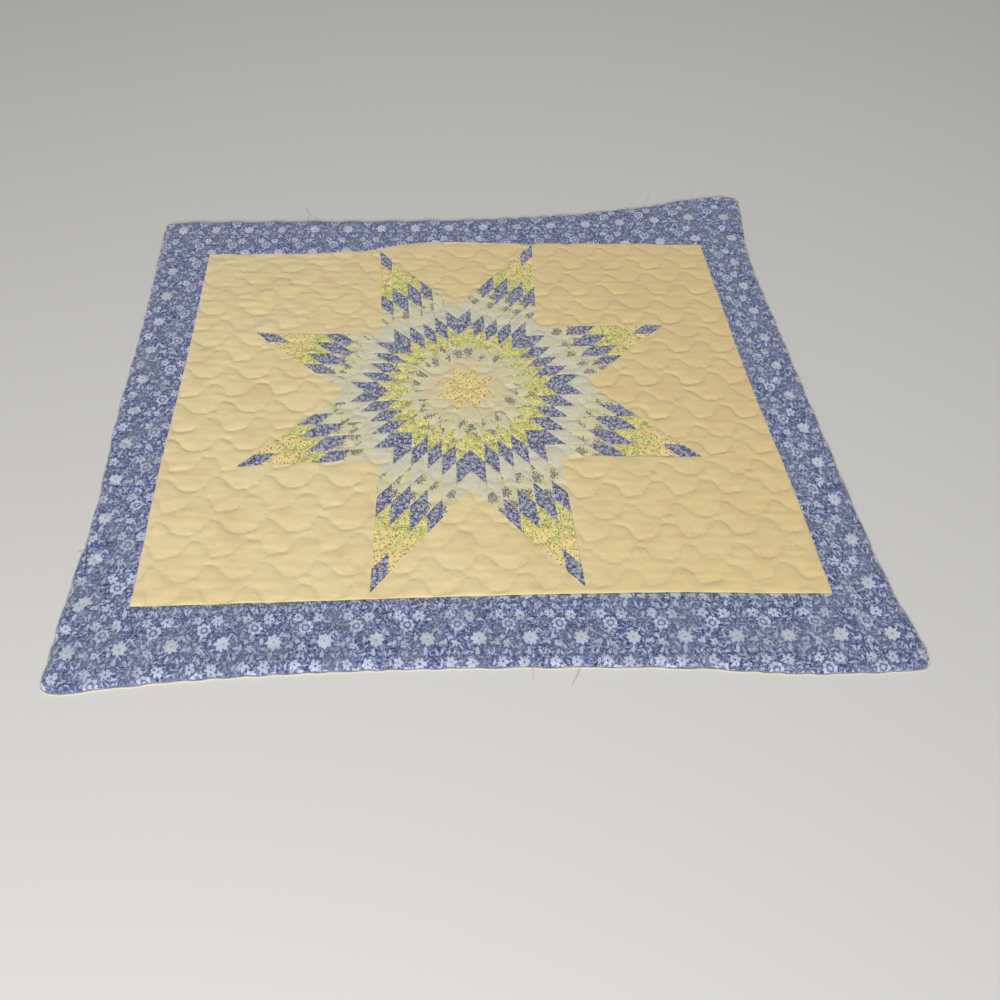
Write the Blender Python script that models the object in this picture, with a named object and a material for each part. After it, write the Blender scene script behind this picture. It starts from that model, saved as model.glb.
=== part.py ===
"""A lone star quilt laid out flat: a pieced star of eight points on a cream yellow ground,
framed by four floral border strips, and backed by a thin cloth that shows as a pale rim.

Metres, +Z up. X runs along the long side and Y away from the near side. The origin is at the
middle of the underside of the whole quilt.
"""

import math

import bpy
import numpy as np
from mathutils import Vector
from mathutils.geometry import delaunay_2d_cdt

MM = 0.001

# Driving sizes, in millimetres. Places in plan are measured from the middle of the star.
BACKING_THICK = 1.0
PIECE_GAP = 0.3
RIM = 2.5
SEAM_THICK = 4.0
STAR_SEAM_THICK = 4.6
EDGE_THICK = 2.4
PUFF_THICK = 6.4
QUILT_GROOVE = 2.0
BORDER_WIDTH = 95.0

# The eight points of the star: bearing in degrees and reach of each tip.
STAR_TIPS = (
    (20.9, 347), (68.5, 352), (113.1, 341), (159.3, 342),
    (202.5, 345), (247.9, 355), (291.9, 360), (336.9, 358),
)
# The notches between the points, each just before the tip in the same row above.
STAR_NOTCHES = (
    (1.3, 181), (46.7, 172), (92.9, 173), (138.3, 171),
    (181.2, 178), (225.2, 179), (269.8, 179), (314.1, 182),
)
# The share of each side of a star point at which the seams of its small patches meet it.
PATCH_SHARES = (0.0, 0.153, 0.306, 0.46, 0.64, 0.842, 1.0)

# Corners of the outer edge and of the border seam, with the edge's corner radii.
EDGE_CORNERS = {
    "bottom_left": (-500, -435), "bottom_right": (548, -465),
    "top_right": (539, 471), "top_left": (-507, 399),
}
CORNER_RADII = {"bottom_left": 20, "bottom_right": 30, "top_right": 26, "top_left": 12}
SEAM_CORNERS = {
    "bottom_left": (-417, -332), "bottom_right": (448, -358),
    "top_right": (432, 324), "top_left": (-418, 310),
}

# How far each side bows out from the straight line between its corners, counterclockwise:
# share of the way along, millimetres outward.
EDGE_BOWS = {
    "bottom": ((0.14, -11), (0.25, -16), (0.55, -16), (0.72, -10), (0.84, 0)),
    "right": ((0.10, -13), (0.36, -21), (0.60, -23), (0.86, -18), (0.94, -5)),
    "top": ((0.08, -2), (0.17, -17), (0.27, -28), (0.40, -32), (0.62, -24), (0.82, -9)),
    "left": ((0.33, -5), (0.52, -4), (0.73, -9), (0.88, -2)),
}
SEAM_BOWS = {
    "bottom": ((0.20, -2), (0.45, -5), (0.78, -5)),
    "right": ((0.20, 1), (0.56, -4), (0.80, -2)),
    "top": ((0.20, 8), (0.37, 12), (0.50, 20), (0.62, 16), (0.67, 5), (0.78, -2)),
    "left": ((0.37, -1), (0.68, 2)),
}
SIDES = {
    "bottom": ("bottom_left", "bottom_right"),
    "right": ("bottom_right", "top_right"),
    "top": ("top_right", "top_left"),
    "left": ("top_left", "bottom_left"),
}

# The quilting is two wavy lines in turn, repeated up the quilt. Each line falls from a crest
# to a trough and climbs back: where the crest is, the share of the wave that falls, the height
# of the wave's middle within the repeat, and half its height.
WAVE_LENGTH = 67.9
REPEAT_HEIGHT = 66.5
REPEAT_LEAN = 3.5
WAVE_ORIGIN = (6.2, -172.0)
WAVES = (
    {"crest": 0.206, "fall": 0.41, "middle": -18.0, "half": 11.2},
    {"crest": 0.381, "fall": 0.58, "middle": -52.5, "half": 10.8},
)
WAVE_STEPS = 6
QUILT_REACH = 620.0

# How finely the edges are divided, how far in from a seam the quilting starts, and how far in
# from a seam the top has risen to its full thickness.
EDGE_STEP = 24.0
CORNER_STEPS = 4
SHARE_CLEAR = 0.012
SEAM_MARGIN = 7.0
SEAM_ROLL = 20.0

# Long soft folds that lie across the quilt: start, end, half width, height.
FOLDS = (
    {"start": (-395, 160), "end": (-190, 285), "half_width": 26, "height": 1.6},
    {"start": (-380, 90), "end": (-230, 190), "half_width": 20, "height": 1.1},
    {"start": (250, 150), "end": (420, 165), "half_width": 24, "height": 1.0},
    {"start": (-330, -420), "end": (-60, -405), "half_width": 22, "height": 1.2},
)

COLOURS = {
    "backing": (0.72, 0.70, 0.62), "field": (0.76, 0.62, 0.34),
    "border": (0.16, 0.20, 0.42), "star": (0.30, 0.33, 0.40),
}


def polar(row):
    bearing, reach = row
    angle = math.radians(bearing)
    return np.array([reach * math.cos(angle), reach * math.sin(angle)])


def bow_at(rows, share):
    """The outward bow at a share of a side, as a smooth curve through the table's rows."""
    at = [0.0] + [row[0] for row in rows] + [1.0]
    out = [0.0] + [row[1] for row in rows] + [0.0]
    slopes = np.gradient(out, at)
    slopes[0] = slopes[-1] = 0.0
    k = min(max(np.searchsorted(at, share) - 1, 0), len(at) - 2)
    span = at[k + 1] - at[k]
    t = (share - at[k]) / span
    start = out[k] * (1 + 2 * t) * (1 - t) ** 2 + slopes[k] * span * t * (1 - t) ** 2
    end = out[k + 1] * t * t * (3 - 2 * t) + slopes[k + 1] * span * t * t * (t - 1)
    return start + end


def side_point(side, share, corners, bows):
    first, last = (np.array(corners[name], float) for name in SIDES[side])
    along = last - first
    outward = np.array([along[1], -along[0]]) / np.hypot(*along)
    return first + along * share + outward * bow_at(bows[side], share)


def side_length(side, corners):
    first, last = (np.array(corners[name], float) for name in SIDES[side])
    return np.hypot(*(last - first))


def edge_run(side):
    """Points along one side of the outer edge, between its rounded corners."""
    first, last = SIDES[side]
    length = side_length(side, EDGE_CORNERS)
    begin = CORNER_RADII[first] / length
    end = 1 - CORNER_RADII[last] / length
    shares = np.linspace(begin, end, round(length / EDGE_STEP) + 1)
    return [side_point(side, share, EDGE_CORNERS, EDGE_BOWS) for share in shares]


def share_at(side, place):
    """The share of the border seam that lies nearest to a place in plan."""
    shares = np.linspace(0, 1, 1001)
    points = np.array([side_point(side, share, SEAM_CORNERS, SEAM_BOWS) for share in shares])
    return shares[np.argmin(np.hypot(*(points - place).T))]


def seam_shares(exits, shares):
    """Shares of the points on each side of the border seam, with the tips' seams among them."""
    table = {}
    for side in SIDES:
        even = np.linspace(0, 1, round(side_length(side, SEAM_CORNERS) / EDGE_STEP) + 1)
        own = [shares[k] for k in exits if exits[k] == side]
        clear = [share for share in even if all(abs(share - mark) > SHARE_CLEAR for mark in own)]
        table[side] = sorted(clear + own)
    return table


def seam_run(side, table, first=0.0, last=1.0):
    """The points of a side of the border seam from one share to another, both included."""
    shares = [share for share in table[side] if first <= share <= last]
    return [side_point(side, share, SEAM_CORNERS, SEAM_BOWS) for share in shares]


def round_corner(name, before, after):
    """An arc that joins the last point of one side to the first point of the next."""
    corner = np.array(EDGE_CORNERS[name], float)
    turns = np.linspace(0, 1, CORNER_STEPS + 1)[1:-1]
    return [before * (1 - t) ** 2 + corner * 2 * t * (1 - t) + after * t * t for t in turns]


def outer_edge():
    """The whole outer edge, counterclockwise from the lower left corner."""
    runs = {side: edge_run(side) for side in SIDES}
    edge = []
    names = list(SIDES)
    for k, side in enumerate(names):
        following = names[(k + 1) % len(names)]
        edge += runs[side]
        edge += round_corner(SIDES[side][1], runs[side][-1], runs[following][0])
    return edge


def straight_run(first, last):
    """Points from first to last, the last left out."""
    steps = max(1, round(np.hypot(*(last - first)) / EDGE_STEP))
    return [first + (last - first) * k / steps for k in range(steps)]


def inset(loop, depth):
    """The counterclockwise loop moved inward by a depth, with mitred corners."""
    points = np.array(loop)
    ahead = np.roll(points, -1, axis=0) - points
    ahead /= np.hypot(*ahead.T)[:, None]
    inward = np.c_[-ahead[:, 1], ahead[:, 0]]
    before = np.roll(inward, 1, axis=0)
    both = inward + before
    return points + both * (depth / (1 + (inward * before).sum(axis=1)))[:, None]


def inside(points, loop):
    """Which points lie within the loop, and how far each is from it."""
    points, loop = np.array(points), np.array(loop)
    within = np.zeros(len(points), bool)
    nearest = np.full(len(points), np.inf)
    for a, b in zip(loop, np.roll(loop, -1, axis=0)):
        crosses = (a[1] > points[:, 1]) != (b[1] > points[:, 1])
        rise = b[1] - a[1] if b[1] != a[1] else 1.0
        at = a[0] + (points[:, 1] - a[1]) * (b[0] - a[0]) / rise
        within ^= crosses & (points[:, 0] < at)
        run = b - a
        share = np.clip(((points - a) @ run) / (run @ run), 0, 1)
        gaps = points - (a + share[:, None] * run)
        nearest = np.minimum(nearest, np.hypot(gaps[:, 0], gaps[:, 1]))
    return within, nearest


def wave(row, x):
    """The height in plan of one quilting line at x, above the middle of its repeat."""
    share = (x / WAVE_LENGTH - row["crest"]) % 1.0
    if share < row["fall"]:
        t = share / row["fall"]
        descent = t * t * (3 - 2 * t)
    else:
        descent = (1 - share) / (1 - row["fall"])
    return row["middle"] + row["half"] * math.cos(math.pi * descent)


def quilting_rows():
    """Points along every quilting line, and along the puff between each line and the next."""
    left, top = WAVE_ORIGIN
    step = WAVE_LENGTH / WAVE_STEPS
    count = int(QUILT_REACH / step)
    first = math.floor((top - QUILT_REACH) / REPEAT_HEIGHT)
    last = math.ceil((top + QUILT_REACH) / REPEAT_HEIGHT)
    lines = []
    for repeat in range(first, last + 1):
        for row in WAVES:
            line = []
            for k in range(-count, count + 1):
                height = wave(row, k * step - REPEAT_LEAN * repeat)
                line.append((left + k * step, top + height - REPEAT_HEIGHT * repeat))
            lines.append(np.array(line))
    puffs = [(a + b) / 2 for a, b in zip(lines, lines[1:])]
    return lines, puffs


def fold_height(x, y):
    """How much the long soft folds raise the top at a place in plan."""
    total = 0.0
    for fold in FOLDS:
        a = np.array(fold["start"], float)
        run = np.array(fold["end"], float) - a
        share = min(max(((x - a[0]) * run[0] + (y - a[1]) * run[1]) / (run @ run), 0), 1)
        gap = math.hypot(x - a[0] - run[0] * share, y - a[1] - run[1] * share)
        reach = min(gap / fold["half_width"], 1.0)
        total += fold["height"] * (1 + math.cos(math.pi * reach)) / 2 * math.sin(math.pi * share)
    return total


def cloth_material(name, colour):
    material = bpy.data.materials.new(name)
    material.use_nodes = True
    shader = material.node_tree.nodes["Principled BSDF"]
    shader.inputs["Base Color"].default_value = (*colour, 1.0)
    shader.inputs["Roughness"].default_value = 0.9
    shader.inputs["Metallic"].default_value = 0.0
    material.diffuse_color = (*colour, 1.0)
    return material


def add_object(name, points, faces, colour, middle):
    """A closed body from points in millimetres, with the quilt's middle moved to the origin."""
    mesh = bpy.data.meshes.new(name)
    shifted = [((x - middle[0]) * MM, (y - middle[1]) * MM, z * MM) for x, y, z in points]
    mesh.from_pydata(shifted, [], faces)
    mesh.validate()
    mesh.materials.append(cloth_material(name, colour))
    body = bpy.data.objects.new(name, mesh)
    bpy.context.scene.collection.objects.link(body)
    return body


def triangles_inside(points, edges):
    """Counterclockwise triangles over the points, kept within the closed loop of edges."""
    flat = [Vector((float(x), float(y))) for x, y in points]
    places, _, faces, _, _, _ = delaunay_2d_cdt(flat, edges, [], 1, 1e-5)
    return [(p.x, p.y) for p in places], faces


def close_body(top, top_faces, rim_count, low):
    """Walls and a flat underside below a top whose first points are its rim in order."""
    count = len(top)
    rim = [(x, y) for x, y, _ in top[:rim_count]]
    loop = [(k, (k + 1) % rim_count) for k in range(rim_count)]
    _, under = triangles_inside(rim, loop)
    points = top + [(x, y, low) for x, y in rim]
    faces = [list(face) for face in top_faces]
    faces += [[count + k for k in reversed(face)] for face in under]
    for a, b in loop:
        faces.append([b, a, count + a, count + b])
    return points, faces


def quilted_panel(name, loop, colour, middle, rows, outer=()):
    """A filled piece of the top with the quilting pressed into it. The loop's points that
    are in outer lie on the quilt's edge, where the piece is thin."""
    lines, puffs = rows
    margin = SEAM_MARGIN * 2 if outer else SEAM_MARGIN
    low = BACKING_THICK + PIECE_GAP
    rim = [tuple(point) for point in inset(loop, PIECE_GAP / 2)]
    points = list(rim)
    heights = [low + (EDGE_THICK if k in outer else SEAM_THICK) for k in range(len(rim))]
    edges = [(k, (k + 1) % len(rim)) for k in range(len(rim))]

    if outer:
        shoulder = inset(loop, SEAM_MARGIN)
        for k in sorted(outer):
            within, gap = inside([shoulder[k]], rim)
            if within[0] and gap[0] > SEAM_MARGIN - EDGE_THICK / 2:
                points.append(tuple(shoulder[k]))
                heights.append(low + SEAM_THICK)

    for line, drop in [(line, QUILT_GROOVE) for line in lines] + [(puff, 0) for puff in puffs]:
        within, gap = inside(line, rim)
        last = None
        for k in np.flatnonzero(within & (gap > margin)):
            roll = math.sin(math.pi / 2 * min(gap[k] / SEAM_ROLL, 1.0))
            x, y = line[k]
            full = PUFF_THICK - drop + fold_height(x, y)
            points.append((x, y))
            heights.append(low + SEAM_THICK + (full - SEAM_THICK) * roll)
            if drop and last == k - 1:
                edges.append((len(points) - 2, len(points) - 1))
            last = k

    places, faces = triangles_inside(points, edges)
    top = [(x, y, z) for (x, y), z in zip(places, heights)]
    body_points, body_faces = close_body(top, faces, len(rim), low)
    return add_object(name, body_points, body_faces, colour, middle)


def star_point(name, corners, colour, middle):
    """One point of the star, pieced from small diamonds that puff up between their seams."""
    low = BACKING_THICK + PIECE_GAP
    first, right, tip, left = inset(corners, PIECE_GAP / 2)

    last = len(PATCH_SHARES) - 1

    def place(i, j):
        """Where patch seams i and j cross, or the middle of a patch for halves."""
        u, v = np.interp((i, j), range(last + 1), PATCH_SHARES)
        near = first * (1 - u) + right * u
        far = left * (1 - u) + tip * u
        return tuple(near * (1 - v) + far * v)

    rim = [(k, 0) for k in range(last)] + [(last, k) for k in range(last)]
    rim += [(last - k, last) for k in range(last)] + [(0, last - k) for k in range(last)]
    crossings = rim + [(i, j) for i in range(1, last) for j in range(1, last)]
    index = {crossing: k for k, crossing in enumerate(crossings)}
    top = [(*place(i, j), low + STAR_SEAM_THICK) for i, j in crossings]
    faces = []
    for i in range(last):
        for j in range(last):
            ring = [index[c] for c in ((i, j), (i + 1, j), (i + 1, j + 1), (i, j + 1))]
            top.append((*place(i + 0.5, j + 0.5), low + PUFF_THICK))
            faces += [[a, b, len(top) - 1] for a, b in zip(ring, ring[1:] + ring[:1])]
    points, faces = close_body(top, faces, len(rim), low)
    return add_object(name, points, faces, colour, middle)


def backing(edge, colour, middle):
    """The thin cloth under everything, a little wider than the top."""
    loop = [(k, (k + 1) % len(edge)) for k in range(len(edge))]
    _, faces = triangles_inside(edge, loop)
    top = [(x, y, BACKING_THICK) for x, y in edge]
    points, faces = close_body(top, faces, len(edge), 0.0)
    return add_object("backing", points, faces, colour, middle)


def build():
    for old in list(bpy.data.objects):
        bpy.data.objects.remove(old, do_unlink=True)

    edge = outer_edge()
    low, high = np.min(edge, axis=0), np.max(edge, axis=0)
    middle = (low + high) / 2
    rows = quilting_rows()
    backing(edge, COLOURS["backing"], middle)

    tips = [polar(row) for row in STAR_TIPS]
    notches = [polar(row) for row in STAR_NOTCHES]
    centre = np.zeros(2)
    for k, tip in enumerate(tips):
        corners = [centre, notches[k], tip, notches[(k + 1) % 8]]
        star_point(f"star_point_{k + 1}", corners, COLOURS["star"], middle)

    # Where a seam runs out from each tip to the border, side by side with the next tip's.
    exits = dict(enumerate("right top top left left bottom bottom right".split()))
    shares = {k: share_at(side, tips[k]) for k, side in exits.items()}
    meets = {k: side_point(side, shares[k], SEAM_CORNERS, SEAM_BOWS) for k, side in exits.items()}
    table = seam_shares(exits, shares)

    for k, name in ((7, "right"), (1, "top"), (3, "left"), (5, "bottom")):
        after = (k + 1) % 8
        loop = straight_run(notches[after], tips[k]) + straight_run(tips[k], meets[k])
        loop += seam_run(name, table, shares[k], shares[after])[:-1]
        loop += straight_run(meets[after], tips[after]) + straight_run(tips[after], notches[after])
        quilted_panel(f"field_side_{name}", loop, COLOURS["field"], middle, rows)

    for k, name in ((0, "top_right"), (2, "top_left"), (4, "bottom_left"), (6, "bottom_right")):
        after = k + 1
        loop = straight_run(notches[after], tips[k]) + straight_run(tips[k], meets[k])
        loop += seam_run(exits[k], table, first=shares[k])[:-1]
        loop += seam_run(exits[after], table, last=shares[after])[:-1]
        loop += straight_run(meets[after], tips[after]) + straight_run(tips[after], notches[after])
        quilted_panel(f"field_corner_{name}", loop, COLOURS["field"], middle, rows)

    build_borders(edge, table, middle, rows)


def build_borders(edge, table, middle, rows):
    """The top and bottom strips run the full width, and the side strips lie between them."""
    rimmed = [np.array(point) for point in inset(edge, RIM)]
    seams = {name: np.array(place, float) for name, place in SEAM_CORNERS.items()}

    def nearest(place):
        return int(np.argmin([np.hypot(*(point - place)) for point in rimmed]))

    def edge_between(first, last):
        count = (last - first) % len(rimmed)
        return [rimmed[(first + k) % len(rimmed)] for k in range(count + 1)]

    def across(name):
        """The place on the edge level with a corner of the seam."""
        side = 1 if seams[name][0] > 0 else -1
        return seams[name] + np.array([side * BORDER_WIDTH, 0.0])

    marks = {name: nearest(across(name)) for name in SEAM_CORNERS}

    def strip(name, outer, inner):
        loop = outer + inner
        on_edge = set(range(len(outer)))
        quilted_panel(name, loop, COLOURS["border"], middle, rows, on_edge)

    def joined(name, first):
        """A butt seam from the edge in to the seam's corner, or back out again."""
        ends = [rimmed[marks[name]], seams[name]]
        return straight_run(*(ends if first else ends[::-1]))[1:]

    def seam_back(side):
        return seam_run(side, table)[::-1]

    strip(
        "border_bottom", edge_between(marks["bottom_left"], marks["bottom_right"]),
        joined("bottom_right", True) + seam_back("bottom") + joined("bottom_left", False),
    )
    strip(
        "border_top", edge_between(marks["top_right"], marks["top_left"]),
        joined("top_left", True) + seam_back("top") + joined("top_right", False),
    )
    strip(
        "border_right", edge_between(marks["bottom_right"], marks["top_right"]),
        joined("top_right", True) + seam_back("right") + joined("bottom_right", False),
    )
    strip(
        "border_left", edge_between(marks["top_left"], marks["bottom_left"]),
        joined("bottom_left", True) + seam_back("left") + joined("top_left", False),
    )


build()
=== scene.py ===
"""The looks of a lone star quilt that lies flat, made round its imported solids.

Places are in millimetres in the solids' own frame, and become metres where a mesh is made.
"""

import math

import bpy
import numpy as np
from mathutils import Matrix, Vector
from mathutils.bvhtree import BVHTree
from mathutils.geometry import delaunay_2d_cdt
from mathutils.kdtree import KDTree


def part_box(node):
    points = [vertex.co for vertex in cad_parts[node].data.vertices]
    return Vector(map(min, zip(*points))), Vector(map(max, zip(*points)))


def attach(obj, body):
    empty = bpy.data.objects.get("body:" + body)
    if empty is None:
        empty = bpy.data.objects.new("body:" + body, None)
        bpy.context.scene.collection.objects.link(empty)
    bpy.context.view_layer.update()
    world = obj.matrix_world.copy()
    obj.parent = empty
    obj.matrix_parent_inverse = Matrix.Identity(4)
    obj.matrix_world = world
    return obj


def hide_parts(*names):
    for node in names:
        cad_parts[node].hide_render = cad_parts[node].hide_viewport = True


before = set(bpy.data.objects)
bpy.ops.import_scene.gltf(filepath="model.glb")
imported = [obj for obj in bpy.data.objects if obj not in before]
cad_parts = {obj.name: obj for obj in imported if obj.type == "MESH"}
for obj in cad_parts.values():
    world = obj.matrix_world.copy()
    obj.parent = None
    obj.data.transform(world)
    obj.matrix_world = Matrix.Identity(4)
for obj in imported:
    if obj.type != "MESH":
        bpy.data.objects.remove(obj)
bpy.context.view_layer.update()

MM = 0.001

BORDERS = ("border_top", "border_bottom", "border_left", "border_right")
FIELDS = tuple(f"field_side_{name}" for name in ("top", "right", "bottom", "left"))
FIELDS += tuple(f"field_corner_{a}_{b}" for a in ("top", "bottom") for b in ("left", "right"))
STARS = tuple(f"star_point_{k}" for k in range(1, 9))

# Heights of the top cloth above the floor: on a puff, along the quilting, in the seams
# between pieces and between patches, and at the outer edge.
PUFF_TOP = 7.3
STITCH_TOP = 5.4
SEAM_TOP = 6.1
HIDDEN_SEAM_TOP = 7.0
PATCH_TOP = 6.6
EDGE_TOP = 2.6
CROWN = 0.5
CROWN_REACH = 15.0

# How far toward the piece across a seam the sewn edge lies, as a share of the gap between the
# two solids, and the widest gap that is a seam.
SEWN = 0.49
SEAM_REACH = 2.5
MARK_STEP = 0.3

# How far from each of these the cloth has risen back to its full height.
STITCH_ROLL = 3.9
SEAM_ROLL = 5.0
PATCH_ROLL = 3.2
EDGE_ROLL = 11.0

# The backing's own thickness, its rolled rim, and how the edge draws in at the quilting.
BACKING_TOP = 1.0
RIM_ROWS = ((0.0, 0.6), (0.4, 1.7), (1.1, 2.3), (1.9, 1.9), (2.4, 1.2), (4.0, 1.0))
RIM_VARIES = (0.75, 0.25, 24, 5.0)
UNDER_GROOVE = {"depth": 0.5, "roll": 3.0, "fade": 4.0}
SCALLOP = 1.6
SCALLOP_REACH = 7.0
BACKING_SCALLOP = 0.8
# How near the quilt's outer edge an outline counts as free of a seam, and is drawn in.
EDGE_FREE = 6.0
SCALLOP_FREE = 4.0

# How finely the cloth is divided, and how clear of its outline, in all and for the backing's
# underside and the patches.
LOOP_STEP = 2.2
COLUMN_STEP = 2.2
ROW_OFFSETS = (1.0, 2.3, 4.2)
ROW_STEP = 2.9
SEAM_ROWS = (0.9, 2.0)
ROW_KEPT = 0.9
LINE_CLEAR = 0.5
CLEAR = 2.9
PATCH_ROW = {"clear": 1.8, "row": 0.9, "from_edge": 1.2, "points": 80}
UNDER = {"thin": 7, "line_thin": 2, "clear": 3.5, "row": 1.6, "from_edge": 3.0}

# The angle past which an outline, or the shading, has a corner, in degrees.
STRIP_SHARP = 32
PIECE_SHARP = 18
POINT_SHARP = 30
SHADE_SHARP = 65

# One repeat of the quilting is two waves. Points are along the wave and down the repeat, from
# the repeat's corner, which is given from the middle of the star.
REPEAT = {"length": 67.9, "height": 66.5, "lean": 3.5, "corner": (141.75, -153.3)}
WAVES = (
    ((4.2, 25.9), (14.0, 24.9), (21.0, 28.0), (25.9, 35.0), (28.5, 42.0), (32.9, 46.9),
     (42.0, 48.3), (50.4, 46.9), (60.2, 42.7)),
    ((25.9, 60.9), (33.6, 61.6), (40.6, 65.8), (48.3, 74.9), (56.0, 80.5), (65.1, 82.6),
     (75.6, 80.8), (84.0, 76.3)),
)
# Lesser creases that the waves pull in the cloth, in the same repeat.
PUCKERS = (
    ((30.1, 11.2), (36.4, 18.2), (42.0, 25.2), (50.4, 28.7)),
    ((-7.0, 53.9), (4.2, 47.6), (12.6, 45.5), (18.2, 46.2)),
    ((44.4, 7.8), (51.0, 14.2), (58.4, 16.8), (70.0, 16.4)),
)
PUCKER_DEPTH = 0.8
PUCKER_REACH = 2.6
PUCKER_POWER = 1.6
PUCKER_VARIES = (0.65, 0.5, 95, 7.0)
PUCKER_ROWS = (-7, 12)
PUCKER_COLUMNS = (-11, 8)
PUCKER_POINTS = 20

# The uneven surface of the cloth, as rows of uneven, and how far the stitches pull it.
SWELLS = ((0.4, 1.0, 1.0, 120, 1.0), (0.2, 1.0, 1.0, 34, 2.0))
SHORT_CREASES = ((0.36, 0.4, 1.0, 17, 4.0), (0.14, 0.35, 1.0, 9, 8.0))
PULLS = ((0.24, 1.0, 0.35, 9.5, 3.0),)
PULL_REACH = 8.0

# How sharply the quilting dips and how its depth varies, and what is left of that depth in
# the patches, away from their point's seams.
STITCH_POWER = 1.25
STITCH_VARIES = (0.85, 0.35, 75, 6.0)
PATCH_SLACK = 0.7
PATCH_SLACK_REACH = 12
QUILT_REACH = 545.0

# The quilting is pressed flatter toward the near side: Y from the middle of the star, and the
# share of its depth that is left there.
QUILT_DEPTH = ((-330.0, 0.55), (-60.0, 1.05), (120.0, 1.1))
# Where the cloth has slipped into many short creases that all but hide the quilting.
CREASED = {"middle": (-300.0, 240.0), "reach": (190.0, 150.0), "lost": 0.35, "more": 1.0}

# Long soft folds across the quilt, from the middle of the star.
FOLDS = (
    {"start": (-395, 160), "end": (-190, 285), "half_width": 30, "height": 2.2},
    {"start": (-380, 90), "end": (-230, 190), "half_width": 22, "height": 1.6},
    {"start": (250, 150), "end": (420, 165), "half_width": 24, "height": 1.0},
    {"start": (-330, -420), "end": (-60, -405), "half_width": 22, "height": 1.2},
)

# The share of each side of a star point at which the seams of its patches meet it, and the
# cloth of each ring of patches from the middle of the star outward.
PATCH_SHARES = (0.0, 0.153, 0.306, 0.46, 0.64, 0.842, 1.0)
RINGS = (
    "cream_dots", "pale_beige", "pale_spots", "yellow_green", "violet_sprigs", "pale_grey",
    "pale_spots", "violet_sprigs", "yellow_green", "cream_dots", "violet_sprigs",
)

# Places in the row of star shaped flowers along each border strip, from the middle of the
# star, each with the number of its repeat, counted along X or Y.
FLOWER_ROWS = {
    "border_top": ((-305, 372.5, 0), (-12.5, 375, 5), (230, 382.5, 9), (427.5, 400, 12)),
    "border_bottom": (
        (-475, -387, 0), (-302.5, -385, 3), (-122.5, -391, 6), (120, -398.7, 10),
        (308.7, -408.7, 13), (505, -415, 16),
    ),
    "border_left": ((-470, 207.5, 0), (-472.5, 32.5, -3), (-472.5, -207.5, -7), (-471, -325, -9)),
    "border_right": ((482.5, 275, 0), (485, 92.5, -3), (491.5, -95, -6), (499, -282.5, -9)),
}

# The quilting stitches, how far each one's ends and middle lie above the cloth, and how far
# from the quilt's edge they stop.
STITCH = {"length": 2.5, "pitch": 3.3, "start": 0.8, "radius": 0.15, "sides": 3, "from_edge": 6.0}
STITCH_LIFTS = (-0.1, 0.1, -0.1)
# A height that is clear of the whole quilt.
ABOVE = 50.0

# Loose ends of thread at the quilt's edges, from the middle of the star.
LOOSE_ENDS = (
    ((-264.5, 392), (-264, 405), (-262.6, 425), (-266, 434), (-270, 443.5)),
    ((-245, 392), (-246, 403), (-250, 411.5), (-255, 417.5), (-261, 424)),
    ((-220, 393), (-221, 404), (-221.5, 414)),
    ((318, 428), (320, 440), (326, 447.5), (334, 448.5), (340, 443.5), (343, 432)),
    ((349, 430), (351.7, 441.5), (359, 456), (363.5, 468), (368, 476), (371, 481)),
    ((456, 448), (454.5, 461), (451.5, 473), (453, 480), (454, 489)),
    ((58, -430), (58, -440), (57, -447)),
    ((115, -430), (112.5, -441), (107, -449), (102, -456)),
    ((114, -430), (110.5, -442), (106, -450)),
    ((-488, -253), (-494, -251.5), (-500, -250.5)),
)
LOOSE = {"radius": 0.3, "lift": 2.0, "sway": 0.8, "turns": 9, "step": 2.5, "least": 6, "sides": 6}

# The blue floral print in one square repeat, from the middle of its rose. A flower is its
# place, radius, number of petals, depth between them, ring and roughness, and a leaf its
# place, length, width and turn.
PRINT_CELL = 59.5
STAR_FLOWER = (23.9, -18.0)
PRINT_FLOWERS = (
    ((14.6, 11.6), 6.8, 6, 0.42, 0.0, 11.0), ((-9.4, 12.8), 6.2, 5, 0.45, 0.0, 11.0),
    ((-3.4, -24.4), 4.8, 5, 0.5, 0.0, 8.0), ((0.0, 0.0), 8.6, 7, 0.24, 0.42, 3.5),
    (STAR_FLOWER, 9.6, 8, 0.27, 0.0, 2.0),
)
PRINT_LEAVES = (
    (-8.8, -16.3, 7.0, 5.0, -20), (-19.2, -22.9, 8.5, 4.6, 15), (-14.5, -22.5, 9.0, 4.2, 85),
    (9.6, -17.0, 6.5, 4.4, 70), (2.5, -28.3, 9.0, 2.8, -62), (21.7, -33.3, 10.5, 3.8, 88),
    (12.5, -26.0, 6.0, 3.0, 30), (-2.9, -9.6, 9.0, 2.8, 80), (-27.8, -8.3, 10.0, 3.0, 64),
    (-22.6, -9.0, 11.0, 3.0, -50), (-19.4, 12.6, 9.0, 3.4, 70), (26.0, 6.4, 8.5, 3.2, 6),
    (20.7, 25.6, 9.5, 4.0, 86), (-25.2, 23.6, 9.5, 3.0, 112), (-19.8, 24.4, 9.5, 3.0, 62),
    (-5.2, 24.6, 8.0, 3.2, 68), (-0.4, 22.4, 8.5, 3.2, 116), (9.0, 23.5, 8.0, 3.0, 20),
)

PETAL_SOFT = 0.35
# The size of the cells of the pale cloth's flowers.
SPOT_CELL = 27.0
MATT = {"Sheen Roughness": 0.5, "Specular IOR Level": 0.25}

CAMERA = {
    "place": (-34.7, -702.1, 798.5), "pitch": 57.39, "yaw": 8.03, "roll": 4.70,
    "focal_px": 700.0, "photo_px": 1000.0, "sensor_mm": 36.0,
}

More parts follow.
